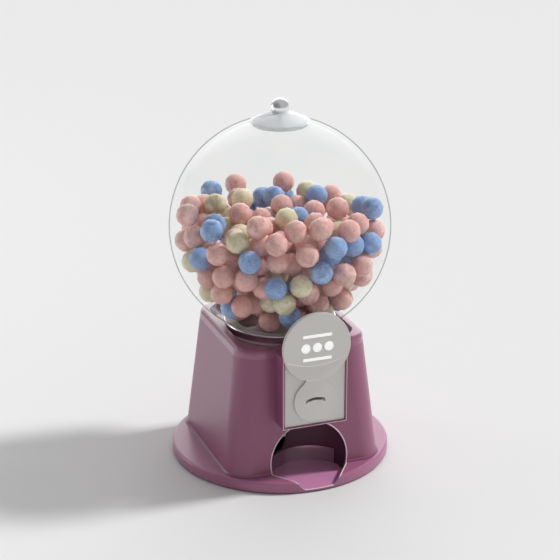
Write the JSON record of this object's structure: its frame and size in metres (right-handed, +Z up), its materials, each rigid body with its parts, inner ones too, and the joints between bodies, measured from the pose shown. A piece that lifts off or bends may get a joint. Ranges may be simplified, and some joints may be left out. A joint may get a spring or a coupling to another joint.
{
  "type": "capsule toy machine",
  "caption": "Counter-top capsule machine: clear globe of capsules on a tapered base with turn key, feed wheel, chute and tray.",
  "frame": {"origin": "centre of the footprint on the surface the machine stands on", "axes": "+Z up along the globe's axis, -Y out of the front that carries the key and the tray, +X to the right as seen from the front"},
  "size_m": [0.242, 0.242, 0.4038],
  "materials": {
    "body_plastic": "satin moulded plastic",
    "dark_plastic": "matte",
    "rubber": "matte",
    "seal_rubber": "matte",
    "zinc_screw": "zinc plated",
    "grey_plate": "satin grey lacquer",
    "white_print": "screen print",
    "mech_steel": "satin",
    "mech_plastic": "moulded",
    "chrome": "polished",
    "globe_clear": "clear, polished",
    "lid_clear": "clear grey, polished",
    "liner_plastic": "moulded",
    "tray_plastic": "satin",
    "satin_steel": "satin",
    "brass": "machined",
    "capsule_pink": "mottled matte",
    "capsule_blue": "mottled matte",
    "capsule_cream": "mottled matte"
  },
  "bodies": {
    "housing": {"flange_ring": "body_plastic", "tower_walls": "body_plastic", "tower_crown": "body_plastic", "front_boss": "body_plastic", "screw_posts": "body_plastic", "base_plate": "dark_plastic", "rubber_feet": "rubber", "base_screws": "zinc_screw", "front_panel": "grey_plate", "sign_bracket": "mech_steel", "sign_disc": "grey_plate", "sign_badge": "grey_plate", "sign_motif": "white_print", "sign_rivets": "zinc_screw", "hopper_pan": "mech_plastic", "drop_guard": "mech_steel", "globe_gasket": "seal_rubber", "neck_ring": "chrome", "globe": "globe_clear", "spindle_bracket": "mech_steel", "drop_chute": "mech_plastic", "niche_liner": "liner_plastic", "tray_floor": "tray_plastic", "tray_band": "satin_steel", "coin_slide": "mech_steel", "coin_box": "dark_plastic", "return_spring": "mech_steel", "capsules_pink": "capsule_pink", "capsules_blue": "capsule_blue", "capsules_cream": "capsule_cream"},
    "key": {"turn_key": "grey_plate", "coin_carrier": "mech_plastic", "spindle": "mech_steel", "spindle_collar": "zinc_screw", "pinion": "brass"},
    "wheel": {"pocket_wheel": "mech_plastic", "crown_gear": "brass", "stirring_cone": "mech_plastic", "wheel_bolt": "zinc_screw"},
    "lid": {"lid_cap": "lid_clear", "lid_ball": "chrome", "lid_stud": "zinc_screw", "lid_clamp": "lid_clear", "lid_nut": "zinc_screw", "lid_seal": "seal_rubber"}
  },
  "joints": [
    {"name": "key_turn", "type": "hinge", "parent": "housing", "child": "key", "pos_m": [0, -0.09, 0.1004], "axis": [0, 1, 0], "range_deg": [0, 90], "stiffness_Nm_per_rad": 0.02, "springref_deg": -11.46},
    {"name": "wheel_spin", "type": "hinge", "parent": "housing", "child": "wheel", "pos_m": [0, 0, 0.124], "axis": [0, 0, 1], "range_deg": [0, 60]},
    {"name": "lid_lift", "type": "slide", "parent": "housing", "child": "lid", "axis": [0, 0, 1], "range_m": [0, 0.06]}
  ],
  "couplings": [
    {"joint": "wheel_spin", "follows": "key_turn", "ratio": 0.66667}
  ]
}
